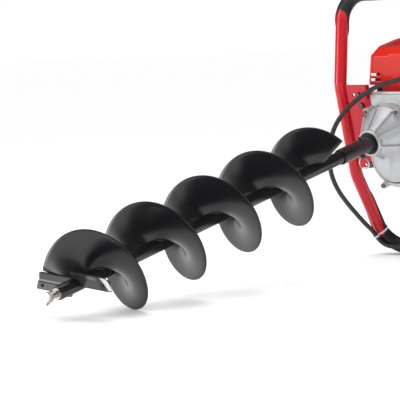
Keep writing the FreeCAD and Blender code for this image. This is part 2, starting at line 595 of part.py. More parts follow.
def make_fuel():
    tank = soft_box(-132, -64, -82, 82, CRANK_Z - 48, CRANK_Z + 48, 14)
    inner = soft_box(-129, -67, -79, 79, CRANK_Z - 45, CRANK_Z + 45, 11)
    neck = ring(16, 12, CRANK_Z + 46, CRANK_Z + 58, -98, 48)
    feet = [box(-78, -40, -34, 34, z, z + 4).cut(cyl(CRANKCASE_R, 1000, 1300))
            for z in (CRANK_Z - 46, CRANK_Z + 40)]
    tank = joined(tank, *feet).cut(inner)
    add("fuel_tank", joined(tank, neck).cut(cyl(12, CRANK_Z + 40, CRANK_Z + 60, -98, 48)))
    z = CRANK_Z
    add("fuel_cap", joined(cyl(20, z + 58.3, z + 72, -98, 48), cyl(11.6, z + 50, z + 59, -98, 48)))
    line = [(-80, 82, z - 20), (-80, 98, z - 20), (-52, 111, z - 32), (0, 112, z - 44),
            (44, 102, z - 50), (66, 86, z - 50), (72, 77, z - 36), (72, 77, z - 18)]
    add("fuel_line", held_line(line, 2.6))


# ---------------------------------------------------------------- carrying frame

def loop_corner(sign_x, sign_y):
    """Points of a quarter of the handle loop, from the side's middle to the crossbar's middle."""
    return [(0, sign_y * FRAME_Y, FRAME_Z), (sign_x * BEND_X, sign_y * FRAME_Y, FRAME_Z),
            (sign_x * HANDLE_X, sign_y * FRAME_Y, HANDLE_Z), (sign_x * HANDLE_X, 0, HANDLE_Z)]


def half_loop(sign_y):
    """Points of one side of the loop, from crossbar middle to crossbar middle."""
    low, high = loop_corner(-1, sign_y), loop_corner(1, sign_y)
    return list(reversed(low))[:-1] + high[1:]


def plate_bolt_places():
    return [(sx * 87, sy * 94) for sx in (-1, 1) for sy in (-1, 1)] + [(62, -90), (62, 90)]


def make_frame():
    for name, side in (("frame_tube_left", -1), ("frame_tube_right", 1)):
        wire = bent_path(half_loop(side), [CORNER_RADIUS, BEND_RADIUS, BEND_RADIUS, CORNER_RADIUS])
        add(name, swept_tube(wire, FRAME_R, FRAME_R - 1.8))
    plates = []
    for side in (-1, 1):
        z1 = REAR_Z
        plate = box(-94, 112, -FRAME_Y + 4, -62, z1 - PLATE_T, z1)
        lip = box(80, 112, -66, -62, z1 - 14, z1 - PLATE_T)
        body = joined(plate, lip)
        if side > 0:
            body = body.mirror(V(0, 0, 0), V(0, 1, 0))
        wire = bent_path(half_loop(side), [CORNER_RADIUS, BEND_RADIUS, BEND_RADIUS, CORNER_RADIUS])
        bolt_holes = [cyl(4.25, z1 - 20, z1 + 1, x, y) for x, y in plate_bolt_places()]
        body = body.cut([swept(wire, FRAME_R)] + bolt_holes)
        holes = [cyl(HOLE_R, z1 - 20, z1 + 1, x, side * HOLE_Y) for x in (-HOLE_X, HOLE_X)]
        plates.append(body.cut(holes))
    add("mounting_plates", *plates)
    add("frame_bolts", *[hex_bolt(x, y, REAR_Z - PLATE_T, -1, 4.0, 18, 13) for x, y in plate_bolt_places()])
    for name, sign_x in (("upper_grip", 1), ("lower_grip", -1)):
        left, right = loop_corner(sign_x, -1), loop_corner(sign_x, 1)
        points = [left[1], left[2], right[2], right[1]]
        wire = bent_path(points, [CORNER_RADIUS, CORNER_RADIUS])
        sleeve = swept_tube(wire, GRIP_R, FRAME_R)
        reach = 236
        keep = box(reach, 400, -300, 300, 900, 1300)
        if sign_x < 0:
            keep = box(-400, -reach, -300, 300, 900, 1300)
        add(name, sleeve.common(keep))


def make_controls():
    x, z = -HANDLE_X, HANDLE_Z
    body = soft_box(x - 10, x + 28, -80, 14, z - 29, z + 22, 9)
    bar = rod((x, -90, z), (x, 24, z), GRIP_R)
    pocket = box(x + 12, x + 32, -67, -12, z - 5.5, z + 5.5)
    pivot = (x + 23, -60)
    blade = [(x + 21, -63), (x + 25, -62), (x + 40, -32), (x + 43, -16), (x + 38, -15), (x + 33, -28)]
    trigger = prism(blade, z - 5, z + 5)
    lever = joined(cyl(4.5, z - 5, z + 5, *pivot), trigger)
    hatch = box(x + 18, x + 29, -6, 8, z - 5, z + 5)
    add("throttle_housing", joined(body.cut([bar, pocket, hatch]), cyl(2.0, z - 12, z + 12, *pivot)))
    add("throttle_trigger", lever.cut(cyl(2.05, z - 20, z + 20, *pivot)))
    add("stop_switch", box(x + 18.4, x + 31.5, -5.7, 3.7, z - 4.7, z + 4.7))
    add("zip_tie", make_tie())


def make_tie():
    """Strap round the lower grip's left-hand corner and the loom beside it."""
    slope, turn = math.radians(RAKE), math.radians(15)
    leg, off = V(-math.cos(slope), 0, math.sin(slope)), V(-math.sin(slope), 0, -math.cos(slope))
    corner = V(-HANDLE_X, -FRAME_Y, HANDLE_Z) - leg * CORNER_RADIUS + V(0, CORNER_RADIUS, 0)
    grip = corner + leg * (CORNER_RADIUS * math.sin(turn)) - V(0, CORNER_RADIUS * math.cos(turn), 0)
    along = leg * math.cos(turn) + V(0, math.sin(turn), 0)
    loom = grip + off * (GRIP_R + LOOM_D / 2 + 0.8)
    holds = [(grip, GRIP_R + 0.05), (loom, LOOM_D / 2 + 0.6)]
    outer = [Part.makeCylinder(r + 1.4, 4.6, c - along * 2.3, along) for c, r in holds]
    inner = [Part.makeCylinder(r, 10, c - along * 5, along) for c, r in holds]
    return joined(*outer).cut(inner)


def make_loom():
    radii = cord_radii(LOOM_ROUTE)
    wire = bent_path(LOOM_ROUTE, radii)
    tube = swept(wire, LOOM_D / 2)
    section = math.pi * (LOOM_D / 2) ** 2
    print("loom radii", [round(r) for r in radii], "length", round(wire.Length, 1),
          "volume ratio", round(tube.Volume / (section * wire.Length), 4))
    add("throttle_loom", tube)


def main():
    os.makedirs("parts", exist_ok=True)
    make_bit()
    make_gear_case()
    make_gear_train()
    make_clutch()
    make_crank()
    make_cylinder()
    make_starter()
    make_intake()
    make_covers()
    make_fuel()
    make_frame()
    make_controls()
    make_loom()
    for name, shape in PARTS.items():
        solids = shape.Solids
        if not shape.isValid() or not solids:
            print("CHECK", name, shape.isValid(), len(solids))
        shape.exportStep(f"parts/{name}.step")
    print(len(PARTS), "nodes")


main()
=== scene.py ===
"""Studio scene of the motorised ice auger: cast, welded, moulded and foam detail round its CAD frame."""
import json
import math

import bmesh
import bpy
from mathutils import Matrix, Vector, noise

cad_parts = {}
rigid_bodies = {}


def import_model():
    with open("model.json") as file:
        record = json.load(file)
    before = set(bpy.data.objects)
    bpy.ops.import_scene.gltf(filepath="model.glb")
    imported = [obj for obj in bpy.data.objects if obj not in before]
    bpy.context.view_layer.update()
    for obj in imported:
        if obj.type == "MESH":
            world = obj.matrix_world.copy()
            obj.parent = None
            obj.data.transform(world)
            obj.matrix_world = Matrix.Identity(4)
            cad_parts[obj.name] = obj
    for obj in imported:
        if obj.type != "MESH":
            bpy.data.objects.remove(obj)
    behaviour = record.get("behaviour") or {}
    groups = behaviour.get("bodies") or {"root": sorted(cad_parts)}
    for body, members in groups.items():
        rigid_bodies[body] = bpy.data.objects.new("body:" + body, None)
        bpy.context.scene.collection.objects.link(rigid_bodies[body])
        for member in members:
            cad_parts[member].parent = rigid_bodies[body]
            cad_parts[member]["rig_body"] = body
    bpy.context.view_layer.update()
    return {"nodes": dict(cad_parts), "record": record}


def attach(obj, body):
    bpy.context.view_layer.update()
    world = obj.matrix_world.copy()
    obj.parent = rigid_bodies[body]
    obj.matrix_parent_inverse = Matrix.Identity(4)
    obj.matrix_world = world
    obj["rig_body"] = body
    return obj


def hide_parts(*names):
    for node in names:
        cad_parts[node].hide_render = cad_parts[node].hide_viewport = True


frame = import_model()

# ---------------------------------------------------------------- driving values
# The machine frame, in millimetres: X towards the upper handle, Y towards the air filter, Z up the drill.
TILT = math.radians(13.03)
ORIGIN_X, AXIS_HEIGHT = 566.312, 76.834
TO_ROW = Matrix(((-math.sin(TILT), 0, math.cos(TILT), -ORIGIN_X),
                 (0, -1, 0, 0),
                 (math.cos(TILT), 0, math.sin(TILT), AXIS_HEIGHT),
                 (0, 0, 0, 1)))
MM = 0.001

BIT_R, TUBE_R, FLIGHT_T = 101.6, 15.0, 5.0
PITCH, TURNS = 179.5, 4.361
FLIGHT_Z, LEAD_ANGLE = -26.8, -77.66
GROUND_Z, GROUND_R = -55.5, 97.0     # the blades are ground bright below and outside these
SLEEVE_Z0 = 833.0

LAY = Vector((-60.65, 10.2))
BOSS_R, BOSS_Z = 30.0, 940.0
RIB_OFFSETS = (0, 60, 101, 142, 180, 218, 259, 300)     # rib angles from the lay shaft's direction
CRANK_RIB_R = 48.0

FRAME_Y, FRAME_Z, BEND_X = 146.0, 1050.0, 112.6
RAKE = math.radians(18.19)
HANDLE_X = 319.0
HANDLE_Z = FRAME_Z + (HANDLE_X - BEND_X) * math.tan(RAKE)
FRAME_R, GRIP_R = 15.0, 17.5
CORNER_RADIUS, BEND_RADIUS = 64.0, 76.0
GRIP_TIPS = (("upper_grip", 1, 222.0), ("lower_grip", -1, 168.0))     # |X| of each foam's long ends
GRIP_SHORT_X = 285.0     # |X| of the foam's short side at both ends
OUTWARD_LEAN = math.radians(20)     # turns the long side from the engine towards the outside

LOOM_D = 11.6
LOOM_ROUTE = [
    (131, 72, 1094), (131, 72, 1075), (130, 64, 1056), (127, 46, 1042), (122, 18, 1036),
    (113, -22, 1035), (95, -63, 1026), (68, -100, 1006), (30, -133, 986), (-22, -152, 974),
    (-80, -156, 967), (-127, -154, 978), (-171, -152, 1003), (-219, -149, 1036), (-246, -148.5, 1057),
    (-267, -147.5, 1075), (-290, -141.5, 1083), (-303.5, -131, 1087), (-310.5, -115.5, 1090.3),
    (-311.5, -97, 1094.5), (-311.5, -80, 1094.5),
]


def row(x, y, z):
    """Point of the machine frame, in millimetres, as a point of the row frame, in metres."""
    return (TO_ROW @ Vector((x, y, z))) * MM


# ---------------------------------------------------------------- camera, floor and light

def aim(obj, at, target, roll=0.0):
    obj.location = at
    look = (Vector(target) - Vector(at)).to_track_quat("-Z", "Y")
    obj.rotation_euler = (look.to_matrix() @ Matrix.Rotation(roll, 3, "Z")).to_euler()


def make_camera():
    data = bpy.data.cameras.new("camera")
    data.sensor_width = 36.0
    data.lens = 179.945
    data.clip_end = 50.0
    cam = bpy.data.objects.new("camera", data)
    bpy.context.scene.collection.objects.link(cam)
    aim(cam, (-3.3073, -2.9132, 0.5596), (-0.10890, 0.11422, 0.19312), math.radians(-2.169))
    bpy.context.scene.camera = cam


def area_light(name, at, target, size, power, colour=(1, 1, 1)):
    data = bpy.data.lights.new(name, "AREA")
    data.shape = "RECTANGLE"
    data.size, data.size_y = size
    data.energy = power
    data.color = colour
    lamp = bpy.data.objects.new(name, data)
    lamp.visible_camera = False
    bpy.context.scene.collection.objects.link(lamp)
    aim(lamp, at, target)


SKY, MIRRORED_SKY = 1.0, 0.10     # the even light on everything, and how much of it gloss shows


def make_studio():
    me = bpy.data.meshes.new("floor")
    half = 60.0
    corners = [(-half, -half, 0), (half, -half, 0), (half, half, 0), (-half, half, 0)]
    me.from_pydata(corners, [], [(0, 1, 2, 3)])
    floor = bpy.data.objects.new("floor", me)
    bpy.context.scene.collection.objects.link(floor)
    mat = bpy.data.materials.new("floor_paper")
    mat.use_nodes = True
    shader = mat.node_tree.nodes["Principled BSDF"]
    shader.inputs["Base Color"].default_value = (0.985, 0.985, 0.985, 1)
    shader.inputs["Roughness"].default_value = 0.9
    shader.inputs["Specular IOR Level"].default_value = 0.0
    me.materials.append(mat)

    world = bpy.data.worlds.new("studio")
    bpy.context.scene.world = world
    world.use_nodes = True
    tree = world.node_tree
    back = tree.nodes["Background"]
    back.inputs["Color"].default_value = (1.0, 1.0, 1.0, 1)
    rays = tree.nodes.new("ShaderNodeLightPath")
    strength = tree.nodes.new("ShaderNodeMath")
    strength.operation = "MULTIPLY_ADD"
    strength.inputs[1].default_value = MIRRORED_SKY - SKY
    strength.inputs[2].default_value = SKY
    tree.links.new(rays.outputs["Is Glossy Ray"], strength.inputs[0])
    tree.links.new(strength.outputs[0], back.inputs["Strength"])
    area_light("overhead", (-0.3, 0.2, 2.6), (0, 0, 0.1), (2.6, 1.8), 30)
    area_light("left_softbox", (-2.7, 2.3, 0.6), (-0.4, 0, 0.1), (1.7, 1.1), 42)
    area_light("front_fill", (-0.6, -3.0, 1.5), (0.1, 0, 0.2), (1.6, 1.2), 5)
    bpy.context.scene.view_settings.view_transform = "Standard"


make_camera()
make_studio()


# ---------------------------------------------------------------- materials

class Finish:
    """A procedural material: a Principled shader with helpers that add texture nodes to it."""

    def __init__(self, name, colour, roughness, metallic=0.0):
        self.mat = bpy.data.materials.new(name)
        self.mat.use_nodes = True
        self.tree = self.mat.node_tree
        self.shader = self.tree.nodes["Principled BSDF"]
        self.shader.inputs["Base Color"].default_value = (*colour, 1)
        self.shader.inputs["Roughness"].default_value = roughness
        self.shader.inputs["Metallic"].default_value = metallic
        self.coords = self.node("ShaderNodeTexCoord").outputs["Object"]
        self.heights = []

    def node(self, kind, **values):
        made = self.tree.nodes.new(kind)
        for key, value in values.items():
            if key in made.inputs:
                made.inputs[key].default_value = value
            else:
                setattr(made, key, value)
        return made

    def link(self, a, b):
        self.tree.links.new(a, b)

    def noise(self, scale, detail=3.0, roughness=0.55, stretch=None):
        made = self.node("ShaderNodeTexNoise", Scale=scale, Detail=detail, Roughness=roughness)
        source = self.coords
        if stretch:
            mapping = self.node("ShaderNodeMapping")
            mapping.inputs["Scale"].default_value = stretch
            self.link(source, mapping.inputs["Vector"])
            source = mapping.outputs["Vector"]
        self.link(source, made.inputs["Vector"])
        return made.outputs["Fac"]

    def cells(self, scale, feature="F1"):
        made = self.node("ShaderNodeTexVoronoi", Scale=scale)
        made.feature = feature
        self.link(self.coords, made.inputs["Vector"])
        return made.outputs["Distance"]

    def ramp(self, source, low, high, a, b):
        """Colour or grey that runs from a to b while source runs from low to high."""
        made = self.node("ShaderNodeValToRGB")
        made.color_ramp.elements[0].position = low
        made.color_ramp.elements[1].position = high
        made.color_ramp.elements[0].color = (*a, 1) if len(a) == 3 else (a[0], a[0], a[0], 1)
        made.color_ramp.elements[1].color = (*b, 1) if len(b) == 3 else (b[0], b[0], b[0], 1)
        self.link(source, made.inputs["Fac"])
        return made.outputs["Color"]

    def colour_from(self, source, low, high, a, b):
        self.link(self.ramp(source, low, high, a, b), self.shader.inputs["Base Color"])
        return self

    def roughness_from(self, source, low, high, a, b):
        self.link(self.ramp(source, low, high, (a,), (b,)), self.shader.inputs["Roughness"])
        return self

    def bump(self, source, distance, strength=1.0):
        made = self.node("ShaderNodeBump", Strength=strength, Distance=distance)
        self.link(source, made.inputs["Height"])
        if self.heights:
            self.link(self.heights[-1], made.inputs["Normal"])
        self.heights.append(made.outputs["Normal"])
        self.link(made.outputs["Normal"], self.shader.inputs["Normal"])
        return self

    def worn_edges(self, colour, worn, low=0.53, high=0.60):
        """Base colour that turns to a lighter worn one on convex edges."""
        edge = self.node("ShaderNodeNewGeometry").outputs["Pointiness"]
        grain = self.noise(220.0, 4.0)
        mixed = self.node("ShaderNodeMath", operation="MULTIPLY_ADD")
        mixed.inputs[1].default_value = 0.10
        self.link(grain, mixed.inputs[0])
        self.link(edge, mixed.inputs[2])
        return self.colour_from(mixed.outputs[0], low + 0.05, high + 0.05, colour, worn)

    def specular(self, level):
        self.shader.inputs["Specular IOR Level"].default_value = level
        return self

    def coat(self, weight, roughness):
        self.shader.inputs["Coat Weight"].default_value = weight
        self.shader.inputs["Coat Roughness"].default_value = roughness
        return self


def powder_coat():
    f = Finish("black_powder_coat", (0.008, 0.008, 0.009), 0.26).specular(0.55)
    f.worn_edges((0.007, 0.007, 0.008), (0.035, 0.035, 0.037), 0.55, 0.66)
    f.roughness_from(f.noise(14.0, 5.0), 0.3, 0.75, 0.21, 0.29)
    return f.bump(f.noise(900.0, 2.0), 0.00005, 0.2)


def tool_steel():
    f = Finish("tool_steel", (0.52, 0.50, 0.47), 0.32, 1.0)
    f.colour_from(f.noise(45.0, 6.0), 0.35, 0.7, (0.36, 0.33, 0.30), (0.66, 0.65, 0.63))
    f.roughness_from(f.noise(300.0, 3.0, stretch=(1, 9, 1)), 0.3, 0.7, 0.22, 0.45)
    return f.bump(f.noise(500.0, 3.0, stretch=(1, 12, 1)), 0.0002, 0.4)


def ground_blade():
    """Hardened blade: dark scale on its faces, bright steel where its edge is ground."""
    f = Finish("ground_blade", (0.03, 0.03, 0.03), 0.34, 0.7)
    axis = (row(0, 0, 1) - row(0, 0, 0)).normalized()
    height = f.node("ShaderNodeVectorMath", operation="DOT_PRODUCT")
    height.inputs[1].default_value = tuple(axis)
    f.link(f.coords, height.inputs[0])
    edge = f.node("ShaderNodeMapRange")
    edge.inputs["From Min"].default_value = row(0, 0, GROUND_Z + 0.6).dot(axis)
    edge.inputs["From Max"].default_value = row(0, 0, GROUND_Z - 0.6).dot(axis)
    f.link(height.outputs["Value"], edge.inputs["Value"])
    from_axis = f.node("ShaderNodeVectorMath", operation="SUBTRACT")
    from_axis.inputs[1].default_value = tuple(row(0, 0, 0))
    f.link(f.coords, from_axis.inputs[0])
    across = f.node("ShaderNodeVectorMath", operation="CROSS_PRODUCT")
    across.inputs[1].default_value = tuple(axis)
    f.link(from_axis.outputs[0], across.inputs[0])
    radius = f.node("ShaderNodeVectorMath", operation="LENGTH")
    f.link(across.outputs[0], radius.inputs[0])
    tip = f.node("ShaderNodeMapRange")
    tip.inputs["From Min"].default_value = (GROUND_R - 0.5) * MM
    tip.inputs["From Max"].default_value = (GROUND_R + 0.5) * MM
    f.link(radius.outputs["Value"], tip.inputs["Value"])
    ground = f.node("ShaderNodeMath", operation="MAXIMUM")
    f.link(edge.outputs["Result"], ground.inputs[0])
    f.link(tip.outputs["Result"], ground.inputs[1])
    f.colour_from(ground.outputs[0], 0.2, 0.8, (0.035, 0.035, 0.037), (0.74, 0.72, 0.68))
    return f.bump(f.noise(500.0, 3.0, stretch=(1, 12, 1)), 0.0001, 0.3)


def black_bolt():
    f = Finish("black_bolt", (0.014, 0.014, 0.015), 0.34, 0.4)
    f.worn_edges((0.013, 0.013, 0.014), (0.10, 0.10, 0.10))
    return f.bump(f.noise(700.0, 2.0), 0.0001, 0.4)


def bright_steel():
    f = Finish("bright_steel", (0.60, 0.60, 0.61), 0.24, 1.0)
    f.roughness_from(f.noise(240.0, 3.0, stretch=(8, 1, 1)), 0.3, 0.7, 0.16, 0.34)
    return f.bump(f.noise(420.0, 2.0, stretch=(10, 1, 1)), 0.0001, 0.4)


def cast_aluminium(name="cast_aluminium", colour=(0.56, 0.57, 0.58)):
    f = Finish(name, colour, 0.46, 0.55)
    dull = tuple(0.82 * c for c in colour)
    f.colour_from(f.noise(34.0, 6.0), 0.3, 0.72, dull, colour)
    f.roughness_from(f.noise(90.0, 4.0), 0.3, 0.75, 0.34, 0.52)
    f.bump(f.cells(1500.0), 0.00022, 0.5)
    return f.bump(f.noise(210.0, 5.0), 0.0005, 0.45)


def plain_metal(name, colour, roughness):
    f = Finish(name, colour, roughness, 0.9)
    f.colour_from(f.noise(70.0, 4.0), 0.3, 0.75, tuple(0.75 * c for c in colour), colour)
    return f.bump(f.noise(600.0, 3.0), 0.0002, 0.4)


def red_paint():
    f = Finish("red_paint", (0.52, 0.006, 0.014), 0.30).specular(0.35)
    f.colour_from(f.noise(9.0, 3.0), 0.3, 0.75, (0.48, 0.005, 0.012), (0.56, 0.007, 0.016))
    f.roughness_from(f.noise(30.0, 4.0), 0.3, 0.75, 0.22, 0.34)
    f.bump(f.noise(330.0, 2.0), 0.0003, 0.18)
    return f.coat(0.18, 0.10)


def red_plastic():
    f = Finish("red_plastic", (0.62, 0.014, 0.006), 0.26).specular(0.35)
    f.colour_from(f.noise(11.0, 3.0), 0.3, 0.75, (0.58, 0.012, 0.005), (0.66, 0.016, 0.007))
    f.roughness_from(f.noise(40.0, 4.0), 0.3, 0.75, 0.18, 0.30)
    f.bump(f.noise(160.0, 2.0), 0.0003, 0.15)
    return f.coat(0.15, 0.08)


def moulded(name, colour, roughness, grain=1300.0, depth=0.00018):
    """Textured injection moulding."""
    f = Finish(name, colour, roughness)
    dark, light = tuple(0.8 * c for c in colour), tuple(1.25 * c for c in colour)
    f.colour_from(f.noise(60.0, 4.0), 0.3, 0.75, dark, light)
    f.roughness_from(f.noise(120.0, 3.0), 0.3, 0.75, roughness - 0.06, roughness + 0.08)
    return f.bump(f.cells(grain), depth, 0.6)


def grip_rubber():
    f = Finish("grip_rubber", (0.010, 0.010, 0.011), 0.46).specular(0.35)
    f.roughness_from(f.noise(50.0, 4.0), 0.3, 0.75, 0.38, 0.56)
    f.bump(f.cells(700.0), 0.0002, 0.5)
    return f.bump(f.noise(2500.0, 2.0), 0.00006, 0.5)


def milky(name, colour, weight):
    """Translucent natural moulding."""
    f = Finish(name, colour, 0.38)
    f.shader.inputs["Subsurface Weight"].default_value = weight
    f.shader.inputs["Subsurface Radius"].default_value = (0.006, 0.006, 0.005)
    f.colour_from(f.noise(24.0, 4.0), 0.3, 0.75, tuple(0.88 * c for c in colour), colour)
    return f.bump(f.noise(300.0, 3.0), 0.0003, 0.3)


FINISHES = {
    "black_powder_coat": powder_coat(),
    "tool_steel": tool_steel(),
    "ground_blade": ground_blade(),
    "black_bolt": black_bolt(),
    "bright_steel": bright_steel(),
    "cast_aluminium": cast_aluminium(),
    "clutch_iron": plain_metal("clutch_iron", (0.20, 0.19, 0.18), 0.5),
    "zinc_bracket": plain_metal("zinc_bracket", (0.60, 0.62, 0.62), 0.35),
    "red_paint": red_paint(),
    "red_plastic": red_plastic(),
    "black_plastic": moulded("black_plastic", (0.016, 0.016, 0.017), 0.42),
    "grip_rubber": grip_rubber(),
    "loom_plastic": moulded("loom_plastic", (0.018, 0.019, 0.019), 0.36, 500.0, 0.0001),
    "fuel_hose": moulded("fuel_hose", (0.022, 0.020, 0.018), 0.5),
    "tank_plastic": milky("tank_plastic", (0.62, 0.62, 0.57), 0.35),
    "clear_nylon": milky("clear_nylon", (0.66, 0.66, 0.63), 0.25),
    "red_switch": moulded("red_switch", (0.55, 0.02, 0.02), 0.3),
    "primer_plastic": milky("primer_plastic", (0.42, 0.36, 0.26), 0.3),
    "muffler_steel": plain_metal("muffler_steel", (0.045, 0.045, 0.045), 0.6),
}
NODE_SLOT = {part["node"]: part["material_slot"] for part in frame["record"]["subparts"]}


def finish_cad_nodes():
    """Gives every carried-over CAD node its procedural material."""
    for name, obj in frame["nodes"].items():
        mat = FINISHES["ground_blade" if name == "cutting_blades" else NODE_SLOT[name]].mat
        obj.data.materials.clear()
        obj.data.materials.append(mat)


finish_cad_nodes()

# ---------------------------------------------------------------- mesh helpers

def new_piece(name, verts, faces):
    """Mesh object from row-frame points in metres."""
    me = bpy.data.meshes.new(name)
    me.from_pydata([tuple(v) for v in verts], [], faces)
    me.validate()
    obj = bpy.data.objects.new(name, me)
    bpy.context.scene.collection.objects.link(obj)
    return obj


def from_bmesh(name, bm):
    """Mesh object from a bmesh built in machine millimetres."""
    for v in bm.verts:
        v.co = row(*v.co)
    bmesh.ops.recalc_face_normals(bm, faces=bm.faces)
    me = bpy.data.meshes.new(name)
    bm.to_mesh(me)
    bm.free()
    obj = bpy.data.objects.new(name, me)
    bpy.context.scene.collection.objects.link(obj)
    return obj


def face_outwards(obj):
    bm = bmesh.new()
    bm.from_mesh(obj.data)
    bmesh.ops.recalc_face_normals(bm, faces=bm.faces)
    bm.to_mesh(obj.data)
    bm.free()


def shade(obj, angle=38.0):
    me = obj.data
    me.polygons.foreach_set("use_smooth", [True] * len(me.polygons))
    me.set_sharp_from_angle(angle=math.radians(angle))


def dress(obj, slot, body, angle=38.0):
    """Gives a new piece its finish, its smooth shading and its CAD body."""
    obj.data.materials.clear()
    obj.data.materials.append(FINISHES[slot].mat)
    shade(obj, angle)
    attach(obj, body)
    return obj


def apply_modifiers(obj):
    bpy.context.view_layer.update()
    graph = bpy.context.evaluated_depsgraph_get()
    me = bpy.data.meshes.new_from_object(obj.evaluated_get(graph))
    obj.modifiers.clear()
    obj.data = me


def even_steps(path, step):
    """The same line with points about a step apart."""
    out = [path[0]]
    for a, b in zip(path, path[1:]):
        count = max(1, round((b - a).length / step))
        out += [a.lerp(b, (k + 1) / count) for k in range(count)]
    return out


def frames_along(path):
    """A tangent and two normals at each point, turning no more than the line does."""
    tangents = []
    for i in range(len(path)):
        a, b = path[max(0, i - 1)], path[min(len(path) - 1, i + 1)]
        tangents.append((b - a).normalized())
    side = tangents[0].orthogonal().normalized()
    out = []
    for t in tangents:
        side = (side - t * side.dot(t)).normalized()
        out.append((t, side, t.cross(side)))
    return out


def sweep(name, path, radius, sides=24, caps=True):
    """Round bar along row-frame points; radius is in metres, from the distance along in millimetres."""
    verts, faces = [], []
    distance = 0.0
    for i, (point, (_, u, v)) in enumerate(zip(path, frames_along(path))):
        if i:
            distance += (point - path[i - 1]).length / MM
        r = radius(distance)
        for k in range(sides):
            a = 2 * math.pi * k / sides
            verts.append(point + (u * math.cos(a) + v * math.sin(a)) * r)
    for i in range(len(path) - 1):
        for k in range(sides):
            n = (k + 1) % sides
            faces.append((i * sides + k, i * sides + n, (i + 1) * sides + n, (i + 1) * sides + k))
    if caps:
        last = (len(path) - 1) * sides
        faces.append(tuple(reversed(range(sides))))
        faces.append(tuple(range(last, last + sides)))
    return new_piece(name, verts, faces)


def bent(points, radii, step=3.0):
    """Machine-frame line of straight runs and tangent arcs, sampled, as row-frame points."""
    pts = [Vector(p) for p in points]
    out = [pts[0]]
    for i in range(1, len(pts) - 1):
        back, ahead = (pts[i - 1] - pts[i]).normalized(), (pts[i + 1] - pts[i]).normalized()
        half = back.angle(ahead) / 2
        r = radii[i - 1]
        cut = r / math.tan(half)
        centre = pts[i] + (back + ahead).normalized() * (r / math.sin(half))
        start, end = pts[i] + back * cut - centre, pts[i] + ahead * cut - centre
        sweep_angle = math.pi - 2 * half
        count = max(3, int(r * sweep_angle / step))
        axis = start.cross(end).normalized()
        for k in range(count + 1):
            out.append(centre + Matrix.Rotation(sweep_angle * k / count, 3, axis) @ start)
    out.append(pts[-1])
    return [row(*p) for p in out]


def lathe(name, profile, at=(0, 0, 0), along="z", sides=64):
    """Turned piece: (radius, height) points round a machine-frame line; a radius of 0 closes an end."""
    turn = {"z": Matrix.Identity(3), "x": Matrix.Rotation(math.pi / 2, 3, "Y"),
            "y": Matrix.Rotation(-math.pi / 2, 3, "X"), "-x": Matrix.Rotation(-math.pi / 2, 3, "Y")}[along]
    bm = bmesh.new()
    rings = []
    for r, h in profile:
        count = 1 if r < 1e-6 else sides
        rings.append([bm.verts.new(Vector(at) + turn @ Vector((r * math.cos(2 * math.pi * k / sides),
                                                                 r * math.sin(2 * math.pi * k / sides), h)))
                      for k in range(count)])
    pairs = list(zip(rings, rings[1:]))
    if len(rings[0]) > 1:
        pairs.append((rings[-1], rings[0]))
    for a, b in pairs:
        for k in range(sides):
            n = (k + 1) % sides
            corners = [a[k % len(a)], a[n % len(a)], b[n % len(b)], b[k % len(b)]]
            unique = list(dict.fromkeys(corners))
            if len(unique) > 2:
                bm.faces.new(unique)
    return from_bmesh(name, bm)


def soften(node, width=0.4, segments=2, angle=35.0):
    """Small rounded edges on a CAD node, as real metal and mouldings have."""
    mod = frame["nodes"][node].modifiers.new("edge", "BEVEL")
    mod.width = width * MM
    mod.segments = segments
    mod.limit_method = "ANGLE"
    mod.angle_limit = math.radians(angle)
    mod.use_clamp_overlap = True
    mod.harden_normals = False


def join(name, parts):
    """One object from several, with their meshes together."""
    bm = bmesh.new()
    for part in parts:
        bm.from_mesh(part.data)
    me = bpy.data.meshes.new(name)
    bm.to_mesh(me)
    bm.free()
    for part in parts:
        bpy.data.objects.remove(part)
    obj = bpy.data.objects.new(name, me)
    bpy.context.scene.collection.objects.link(obj)
    return obj


def cast(name, node, extra=(), voxel=1.0, rounds=5, keep=0.35):
    """Cast or moulded look of a CAD node: joined with extra shapes, its edges and inner corners rounded."""
    copy = bpy.data.objects.new(name + "_raw", frame["nodes"][node].data.copy())
    bpy.context.scene.collection.objects.link(copy)
    obj = join(name, [copy, *extra])
    to_machine = (TO_ROW.inverted() @ Matrix.Scale(1 / MM, 4))
    obj.data.transform(Matrix.Scale(MM, 4) @ to_machine)
    mesh_up = obj.modifiers.new("voxels", "REMESH")
    mesh_up.mode = "VOXEL"
    mesh_up.voxel_size = voxel * MM
    smooth = obj.modifiers.new("round", "SMOOTH")
    smooth.factor = 0.5
    smooth.iterations = rounds
    thin = obj.modifiers.new("thin", "DECIMATE")
    thin.ratio = keep
    apply_modifiers(obj)
    obj.data.transform((Matrix.Scale(MM, 4) @ to_machine).inverted())
    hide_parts(node)
    return obj


# ---------------------------------------------------------------- drill bit

def helix_point(r, angle, lift=0.0):
    """Point on the flight at an angle in degrees past its leading edge."""
    a = math.radians(LEAD_ANGLE + angle)
    return Vector((r * math.cos(a), r * math.sin(a), FLIGHT_Z + PITCH * angle / 360 + lift))


